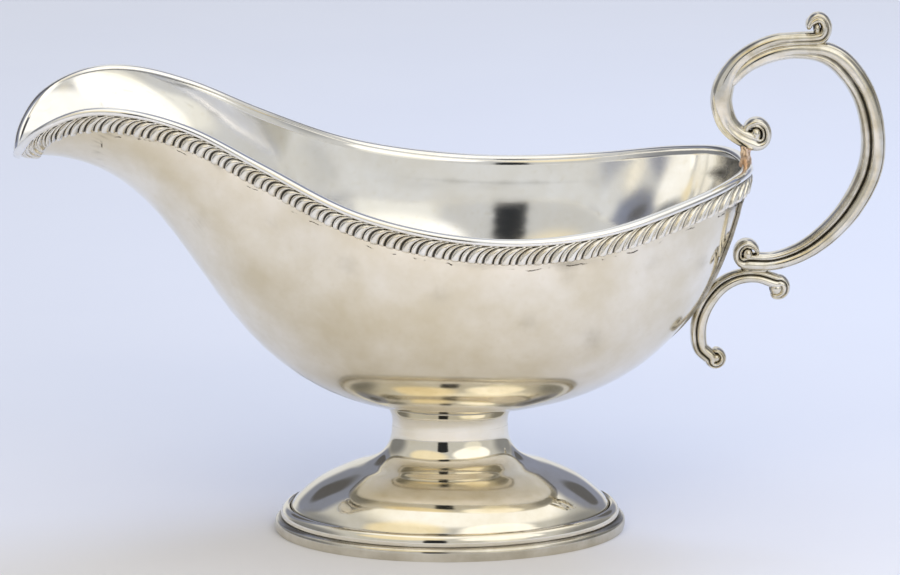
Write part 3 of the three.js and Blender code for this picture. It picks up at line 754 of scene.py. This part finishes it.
class BOAT_OT_foot(bpy.types.Operator):
    """Spins the base, moulding, dome and collar of the foot"""
    bl_idname = "boat.foot"
    bl_label = "Foot"

    def ring(self, name, node, outline, tarnish):
        """Spins one ring; tarnish gives its marks from how far out and how high they lie."""
        piece, spun, half_length = spun_oval(name, outline)
        seat(piece, spun, tarnish(half_length, spun[:, 2]))
        finish_piece(piece, node, silver("foot"), sharp=40)

    def dome(self, wall):
        """The hollow shell of the foot, from the neck down to its edge inside the bead."""
        (top_length, top), (edge_length, edge) = DOME_TOP, DOME_EDGE
        line = [(top_length + out * (edge_length - top_length), top - down * (top - edge))
                for out, down in DOME_LINE]
        outside = even_steps(smooth_line(line), 60)
        inside = outside - left_of(np.gradient(outside, axis=0)) * wall
        inside[:, 0] = np.minimum(inside[:, 0], outside[:, 0] - 0.2)
        inside[0] = (inside[0, 0], top)
        inside[-1] = (edge_length - wall, DOME_INSIDE)
        stand = [DOME_STAND, (edge_length - wall, DOME_STAND[1])]
        # The inside takes every second step only
        self.ring("foot_dome", "pedestal", np.vstack([outside, stand, inside[::-2]]),
                  lambda out, height: 0.5 * smoothstep(out, 38.2, 38.6))

    def collar(self):
        """The hollow moulding between neck and bowl, whose upper edge follows the bowl."""
        piece, spun, half_length = spun_oval("neck_cove", COLLAR_OUTLINE[:, :2])
        away = (np.abs(half_length[:, None] - COLLAR_OUTLINE[:, 0])
                + np.abs(spun[:, 2:] - COLLAR_OUTLINE[:, 1]))
        follow = COLLAR_OUTLINE[np.argmin(away, 1), 2]
        spun[:, 2] += follow * (bowl_height(spun[:, 0], spun[:, 1]) - COLLAR_LEVEL)
        seat(piece, spun, 0.8 * smoothstep(follow, 0.8, 1.0))
        finish_piece(piece, "neck_collar", silver("foot"), sharp=50)

    def execute(self, context):
        # Brown stays at the top of the band, and at the foot and the inner edge of the bead
        self.ring("foot_base", "foot_base_band", rounded(BASE_OUTLINE),
                  lambda out, height: 0.44 + 0.3 * smoothstep(height, 3.1, 3.3))
        self.ring("foot_bead", "foot_moulding", rounded(BEAD_OUTLINE),
                  lambda out, height: 0.1 + 0.6 * smoothstep(-height, -3.6, -3.3)
                  + 0.6 * smoothstep(-out, -39.1, -38.8))
        self.dome(context.scene.boat_sizes.foot_wall / MM)
        self.collar()
        return {"FINISHED"}


def curl(centre, radii, start, sweep, thickness, width, eye, steps=9):
    """The end of a bar that rolls round an eye: start and sweep are angles in degrees, its outer edge
    draws in a little, and its inner edge keeps clear of the eye."""
    points = []
    for t in np.linspace(0, 1, steps):
        turn = math.radians(start + sweep * t)
        draw_in = 1 - 0.14 * t
        free = radii[0] * draw_in - eye
        thick = thickness + (free - thickness) * smoothstep(t, 0, 0.24)
        thick *= 1 - 0.45 * smoothstep(t, 0.7, 1.0)
        points.append((centre[0] + (radii[0] * draw_in - thick / 2) * math.cos(turn),
                       centre[1] + (radii[1] * draw_in - thick / 2) * math.sin(turn),
                       thick, width[0] + (width[1] - width[0]) * t))
    return points


# The section of a grooved bar from its inner side: share of its thickness, share of its width, and
# the tarnish that lies there, which is brown patina in the grooves and painted shade over the inner
# flank; and the section of a plain bar
BAR_SECTION = np.array([
    # Painted shade over the inner flank, from its edge to the groove
    (-0.50, 0.0, 0.2), (-0.49, 0.14, 0.25), (-0.45, 0.28, 0.3), (-0.37, 0.385, 0.35),
    (-0.28, 0.43, 0.35), (-0.20, 0.41, 0.5), (-0.15, 0.33, 1), (-0.11, 0.32, 1), (-0.07, 0.40, 0.25),
    (0.0, 0.47, 0), (0.10, 0.50, 0), (0.20, 0.50, 0), (0.29, 0.475, 0), (0.345, 0.43, 0.2),
    (0.375, 0.36, 0.8), (0.40, 0.36, 0.6), (0.44, 0.34, 0.1), (0.48, 0.2, 0), (0.50, 0.0, 0),
])
PLAIN_SECTION = np.array([
    (-0.50, 0.0), (-0.49, 0.13), (-0.45, 0.27), (-0.37, 0.385), (-0.28, 0.45), (-0.20, 0.48),
    (-0.13, 0.49), (-0.06, 0.50), (0.0, 0.50), (0.06, 0.50), (0.12, 0.495), (0.20, 0.48), (0.29, 0.45),
    (0.345, 0.42), (0.38, 0.385), (0.41, 0.35), (0.45, 0.27), (0.485, 0.16), (0.50, 0.0),
])


def scroll_bar(name, line, origin, grooved):
    """A bar swept along a line of places, thicknesses and widths; grooved says how deep its grooves are
    along the way, from 0 to 1."""
    count = len(line)
    full = np.column_stack([np.asarray(line, float), np.interp(
        np.arange(count), np.linspace(0, count - 1, len(grooved)), grooved)])
    steps = 230
    path = even_steps(smooth_line(full, per_span=16), steps)
    normal = left_of(np.gradient(path[:, :2], axis=0))
    half = len(BAR_SECTION)
    sides = 2 * half - 2

    def place(u, v):
        v = np.mod(v, sides)
        index = np.where(v < half, v, sides - v)
        side = np.where(v < half, 1, -1)
        share = path[u, 4]
        # The last column is brown patina in the grooves and painted shade over the inner flank
        thick, wide, groove_patina_and_shade = BAR_SECTION[index].T
        plain_thick, plain_wide = PLAIN_SECTION[index].T
        # The first and last four steps close in, which rounds the ends
        close = np.minimum(np.minimum(u, steps - u) / 4.0, 1)
        close = np.sqrt(np.clip(1 - (1 - close) ** 2, 0.03, 1))
        out = (plain_thick * (1 - share) + thick * share) * path[u, 2] * close
        y = (plain_wide * (1 - share) + wide * share) * side * path[u, 3] * close
        x = origin[0] + path[u, 0] + normal[u, 0] * out
        z = origin[1] + path[u, 1] + normal[u, 1] * out
        return np.column_stack([x, y, z]), groove_patina_and_shade * share * 0.95

    return rolled_sheet(name, steps, sides, place)


def volute_eye(name, centre, radii, width, origin):
    """The domed button in the middle of a volute."""
    button = add_primitive(name, bpy.ops.mesh.primitive_uv_sphere_add,
                           segments=28, ring_count=16, radius=1)
    corners = corners_of(button)
    reach = np.hypot(corners[:, 0], corners[:, 1])
    # A power under 1 flattens the dome
    side = np.sign(corners[:, 2]) * np.abs(corners[:, 2]) ** 0.6
    places = np.column_stack([
        origin[0] + centre[0] + corners[:, 0] * radii[0],
        side * width / 2,
        origin[1] + centre[1] + corners[:, 1] * radii[1]])
    seat(button, places, smoothstep(reach, 0.72, 0.97))
    weld(button)
    return button


def join_pieces(name, pieces):
    """Joins the meshes of some pieces into the first."""
    select_only(*pieces)
    bpy.ops.object.join()
    pieces[0].name = name
    return pieces[0]


class BOAT_OT_handle(bpy.types.Operator):
    """Sweeps the three scrolls of the handle and rolls their volutes"""
    bl_idname = "boat.handle"
    bl_label = "Scroll handle"

    def scroll(self, name, node, line, origin, grooved, eyes):
        """Sweeps one scroll and joins its eyes, each with a centre, two radii and a width, to it."""
        pieces = [scroll_bar(name, line, origin, grooved)]
        for centre, radii, width in eyes:
            pieces.append(volute_eye(name + "_eye", centre, radii, width, origin))
        finish_piece(join_pieces(name, pieces), node, silver("handle"), sharp=60)

    def execute(self, context):
        upper = curl((0.9, 7.45), (3.95, 4.35), 256, 280, 4.6, (5.4, 5.0), 1.2)
        thumb = curl((15.4, 33.2), (3.55, 4.15), 285, 265, 3.3, (4.9, 4.6), 0.6)
        front = upper[::-1] + FRONT_LINE + thumb
        self.scroll("front_scroll", "handle_front_scroll", front, RIM_BACK,
                    [0.3, 0.3, 1, 1, 0.5, 0, 0, 0.3, 0.7, 0.8, 0.6, 0.3, 0.3],
                    [((0.8, 7.55), (1.3, 1.7), 5.4), ((15.1, 33.1), (0.8, 1.4), 4.9)])
        lower_left = curl((-0.9, -22.2), (3.7, 4.0), 274, -280, 4.2, (5.4, 5.0), 1.15)
        self.scroll("main_scroll", "handle_main_scroll", MAIN_LINE + lower_left, RIM_BACK,
                    [0, 0, 0.3, 0.8, 1, 1, 1, 1, 1, 1, 0.6, 0.2],
                    [((-0.8, -22.1), (1.25, 1.5), 5.4)])
        right = curl((18.1, -4.0), (3.2, 3.3), 98, -240, 3.5, (4.3, 4.2), 0.7)
        foot = curl((3.2, -21.3), (2.9, 2.8), 186, 285, 3.4, (4.6, 4.2), 1.0)
        lower = right[::-1] + LOWER_LINE + foot
        # The last eye is the flat lump of solder under the main scroll
        self.scroll("lower_scroll", "handle_lower_scroll", lower, LOWER_FOOT,
                    [0.2, 0.5, 1, 1, 1, 1, 1, 0.8, 0.5, 0.2],
                    [((17.7, -4.2), (1.65, 1.65), 4.4), ((3.3, -21.2), (1.1, 1.1), 4.6),
                     ((12.4, 0.35), (3.4, 0.9), 3.4)])
        return {"FINISHED"}


class BOAT_OT_fixings(bpy.types.Operator):
    """Makes the plate on the back of the bowl, and the post and solder that carry the handle"""
    bl_idname = "boat.fixings"
    bl_label = "Plate and post"

    def plate(self, sizes):
        """A cut plate that is bent to the back of the bowl."""
        columns, rows = 24, 72
        piece, u, v = add_grid("back_plate", columns, rows)
        across, upwards = 2 * u / columns - 1, 2 * v / rows - 1
        depth, half = even_steps(np.array(PLATE_LINE)[:, ::-1], rows)[rows - v].T
        y = across * half
        z = RIM_BACK[1] - depth
        # The place along X where the bowl has that height is found by halving
        low = np.zeros(len(u))
        high = np.full(len(u), RIM_LINE[-1][0])
        for _ in range(40):
            middle = (low + high) / 2
            inside = bowl_height(middle, y) < z
            low = np.where(inside, middle, low)
            high = np.where(inside, high, middle)
        step = 0.05
        slope_x = (bowl_height(low, y) - bowl_height(low - step, y)) / step
        slope_y = (bowl_height(low, y + step) - bowl_height(low, y - step)) / (2 * step)
        away = np.column_stack([slope_x, slope_y, -np.ones(len(u))])
        away /= np.linalg.norm(away, axis=1)[:, None]
        lift = 0.08
        edge = np.maximum(np.abs(across), np.abs(upwards))
        seat(piece, np.column_stack([low, y, z]) + lift * away, 0.6 * smoothstep(edge, 0.93, 1))
        weld(piece, 0.01 * MM)
        if np.mean([face.normal.x for face in piece.data.polygons]) < 0:
            edit(piece, (bpy.ops.mesh.flip_normals, {}))
        # The plate reaches 0.2 mm into the bowl's wall, where it is soldered
        apply_modifier(piece, "SOLIDIFY", thickness=sizes.plate + 0.2 * MM, offset=1, use_rim=True)
        apply_modifier(piece, "BEVEL", width=0.16 * MM, segments=2, limit_method="ANGLE",
                       angle_limit=math.radians(50))
        finish_piece(piece, "handle_plate", silver("handle"), sharp=40)

    def post(self):
        """A short waisted post, with a collar of solder at both ends."""
        steps, sides = 28, 24
        levels = even_steps(smooth_line(POST_LINE), steps)

        def place(u, v):
            turn = 2 * np.pi * np.mod(v, sides) / sides
            height, radius = levels[u].T
            # The solder is a little lumpy, and the post wider than long
            lump = 1 + 0.06 * np.sin(3 * turn + 2.0 * height) + 0.04 * np.sin(5 * turn - 3 * height)
            x = POST_X + radius * lump * np.cos(turn)
            y = 1.35 * radius * lump * np.sin(turn)
            return np.column_stack([x, y, RIM_BACK[1] + height]), 0.55 * smoothstep(radius, 1.3, 2.2)

        post = rolled_sheet("handle_post", steps, sides, place)
        finish_piece(post, "rim_strut", silver("solder"))

    def execute(self, context):
        self.plate(context.scene.boat_sizes)
        self.post()
        return {"FINISHED"}


# Stage

# Height over the floor that the camera looks at, in metres
TARGET_HEIGHT = 0.060


class BOAT_OT_stage(bpy.types.Operator):
    """Lays a plain pale floor, sets the soft lights and the camera"""
    bl_idname = "boat.stage"
    bl_label = "Floor, lights and camera"

    def floor(self, context):
        """A plain sheet of matt pale paper, 8 m wide."""
        floor = add_primitive("floor", bpy.ops.mesh.primitive_plane_add, size=8)
        material = bpy.data.materials.new("matt pale paper")
        material.use_nodes = True
        tree = material.node_tree
        add = partial(add_node, tree)
        colours = context.scene.boat_finishes
        place = add("TexCoord").outputs["Object"]
        grain = add("TexNoise", {"Scale": per_mm(60), "Detail": 2.0, "Vector": place})
        tone = add("Mix", {"data_type": "RGBA", 0: grain,
                           6: linear(colours.floor), 7: linear(colours.floor_shade)})
        shader = tree.nodes["Principled BSDF"]
        shader.inputs["Roughness"].default_value = 0.9
        shader.inputs["Specular IOR Level"].default_value = 0.1
        tree.links.new(tone.outputs[2], shader.inputs["Base Color"])
        floor.data.materials.append(material)

    def lamps(self, context):
        """Soft lamps for the floor; the silver mirrors the room instead of them."""
        # Place, size, watts, colour, aim and spread in degrees: a cool lamp over the back that casts
        # the shadow, and two warm ones over the floor in front, which the bowl mirrors
        for name, place, size, power, tint, target, spread in (
                ("light from the back",
                 (0.28, 0.30, 0.62), (0.30, 0.30), 1.9, "#b4ccff", (0.05, 0.05, 0), 180),
                ("front light",
                 (0.0, -0.45, 0.40), (0.6, 0.15), 0.42, "#ffe8c4", (0, -0.28, 0), 90),
                ("far front light",
                 (0.78, -1.38, 0.9), (0.3, 0.3), 1.0, "#fff0d8", (0.78, -1.4, 0), 60)):
            light = bpy.data.lights.new(name, "AREA")
            light.shape = "RECTANGLE"
            light.size, light.size_y = size
            light.energy = power
            light.color = linear(tint)[:3]
            light.spread = math.radians(spread)
            lamp = bpy.data.objects.new(name, light)
            context.scene.collection.objects.link(lamp)
            lamp.location = place
            lamp.rotation_euler = (Vector(place) - Vector(target)).to_track_quat("Z", "Y").to_euler()
            lamp.visible_glossy = False

    def patch(self, add, direction, towards, low, high):
        """A soft round patch of the room: 0 outside, 1 in the middle. Its soft edge lies between two
        cosines of the angle from its middle."""
        near = add("VectorMath", {
            "operation": "DOT_PRODUCT", 0: direction, 1: Vector(towards).normalized()})
        return add("MapRange", {"interpolation_type": "SMOOTHSTEP", "Value": near.outputs["Value"],
                                "From Min": low, "From Max": high})

    def world(self):
        """A pale room with a bright window high on the right, a white ceiling, darker corners at the
        back and a dark doorway behind the camera."""
        world = bpy.data.worlds.new("soft room")
        bpy.context.scene.world = world
        world.use_nodes = True
        tree = world.node_tree
        tree.nodes.clear()
        add = partial(add_node, tree)
        direction = add("TexCoord").outputs["Generated"]
        patch = partial(self.patch, add, direction)
        tone = linear("#cfcfce")
        window = ((0.419, -0.726, 0.545), 0.915, 0.950)
        ceiling = ((0.12, -0.03, 1.0), 0.72, 0.86)
        # Where each part of the room lies, its soft edge and its colour
        parts = [
            # The wall behind the boat, its two corners, and the dark middle of each
            ((0.0, 1.0, 0.15), 0.60, 0.90, "#e8eaee"),
            ((0.49, 0.73, 0.47), 0.87, 0.94, "#9096ac"),
            ((-0.47, 0.66, 0.58), 0.87, 0.94, "#8a90a4"),
            ((0.56, 0.69, 0.45), 0.978, 0.990, "#66676d"),
            ((-0.47, 0.67, 0.57), 0.978, 0.990, "#606064"),
            # The side walls
            ((1.0, 0.10, 0.10), 0.75, 0.95, "#8e9094"),
            ((-1.0, 0.10, 0.10), 0.75, 0.95, "#85878b"),
            # The ceiling, a warm screen on the left, the window, and a pale board under it
            (*ceiling, "#ffffff"),
            ((-0.37, -0.65, 0.67), 0.915, 0.970, "#fff2d2"),
            (*window, "#ffffff"),
            ((0.462, -0.870, 0.174), 0.972, 0.990, "#f4f2ea"),
        ]
        # The doorway is an upright strip of five dark rounds
        for height in (-0.02, 0.09, 0.20, 0.31, 0.42):
            parts.append(((-0.13, -1.0, height), 0.9932, 0.9960, "#2c2e31"))
        for *where, shade in parts:
            tone = add("Mix", {
                "data_type": "RGBA", 0: patch(*where), 6: tone, 7: linear(shade)}).outputs[2]
        background = add("Background", {"Strength": 1.0, "Color": tone})
        # The window and the ceiling are brighter than white paper
        glow = 0.0
        for where, more in ((window, 0.35), (ceiling, 0.18)):
            glow = add("Math", {"operation": "MULTIPLY_ADD", 0: patch(*where), 1: more, 2: glow})
        glow = add("Background", {"Color": linear("#fff8e6"), "Strength": glow})
        both = add("AddShader", {0: background, 1: glow})
        add("OutputWorld", {"Surface": both})

    def camera(self, context):
        """A long lens that looks a little down on the middle of the boat."""
        stage = context.scene.boat_stage
        target = Vector((MIDDLE_X, 0, TARGET_HEIGHT))
        back = Vector((math.sin(stage.azimuth) * math.cos(stage.elevation),
                       -math.cos(stage.azimuth) * math.cos(stage.elevation), math.sin(stage.elevation)))
        data = bpy.data.cameras.new("camera")
        data.sensor_width = 36
        data.lens = stage.lens
        data.clip_end = 50
        camera = bpy.data.objects.new("camera", data)
        context.scene.collection.objects.link(camera)
        camera.location = target + back * stage.distance
        camera.rotation_euler = back.to_track_quat("Z", "Y").to_euler()
        context.scene.camera = camera

    def execute(self, context):
        context.scene.view_settings.view_transform = "Standard"
        self.floor(context)
        self.world()
        self.lamps(context)
        self.camera(context)
        return {"FINISHED"}


class BOAT_PT_panel(bpy.types.Panel):
    """Lists the sauce boat's operators and sizes"""
    bl_idname = "BOAT_PT_panel"
    bl_label = "Sauce boat"
    bl_space_type = "VIEW_3D"
    bl_region_type = "UI"
    bl_category = "Sauce boat"

    def draw(self, context):
        for group in ("boat_sizes", "boat_finishes", "boat_stage"):
            settings = getattr(context.scene, group)
            box = self.layout.box()
            for name in type(settings).__annotations__:
                box.prop(settings, name)
        for operator in OPERATORS:
            self.layout.operator(operator.bl_idname)


OPERATORS = (BOAT_OT_bowl, BOAT_OT_border, BOAT_OT_foot, BOAT_OT_handle, BOAT_OT_fixings, BOAT_OT_stage)
GROUPS = {"boat_sizes": BoatSettings, "boat_finishes": FinishSettings, "boat_stage": StageSettings}


def register():
    """Adds the settings, the operators and the panel to Blender."""
    for group in GROUPS.values():
        bpy.utils.register_class(group)
    for name, group in GROUPS.items():
        setattr(bpy.types.Scene, name, bpy.props.PointerProperty(type=group))
    for operator in OPERATORS:
        bpy.utils.register_class(operator)
    bpy.utils.register_class(BOAT_PT_panel)


def unregister():
    """Takes out again what register added, in the opposite order."""
    bpy.utils.unregister_class(BOAT_PT_panel)
    for operator in reversed(OPERATORS):
        bpy.utils.unregister_class(operator)
    for name in GROUPS:
        delattr(bpy.types.Scene, name)
    for group in reversed(list(GROUPS.values())):
        bpy.utils.unregister_class(group)


def main():
    """Builds the stage and the boat."""
    register()
    bpy.ops.boat.stage()
    bpy.ops.boat.bowl()
    bpy.ops.boat.border()
    bpy.ops.boat.foot()
    bpy.ops.boat.handle()
    bpy.ops.boat.fixings()


if __name__ == "__main__":
    main()
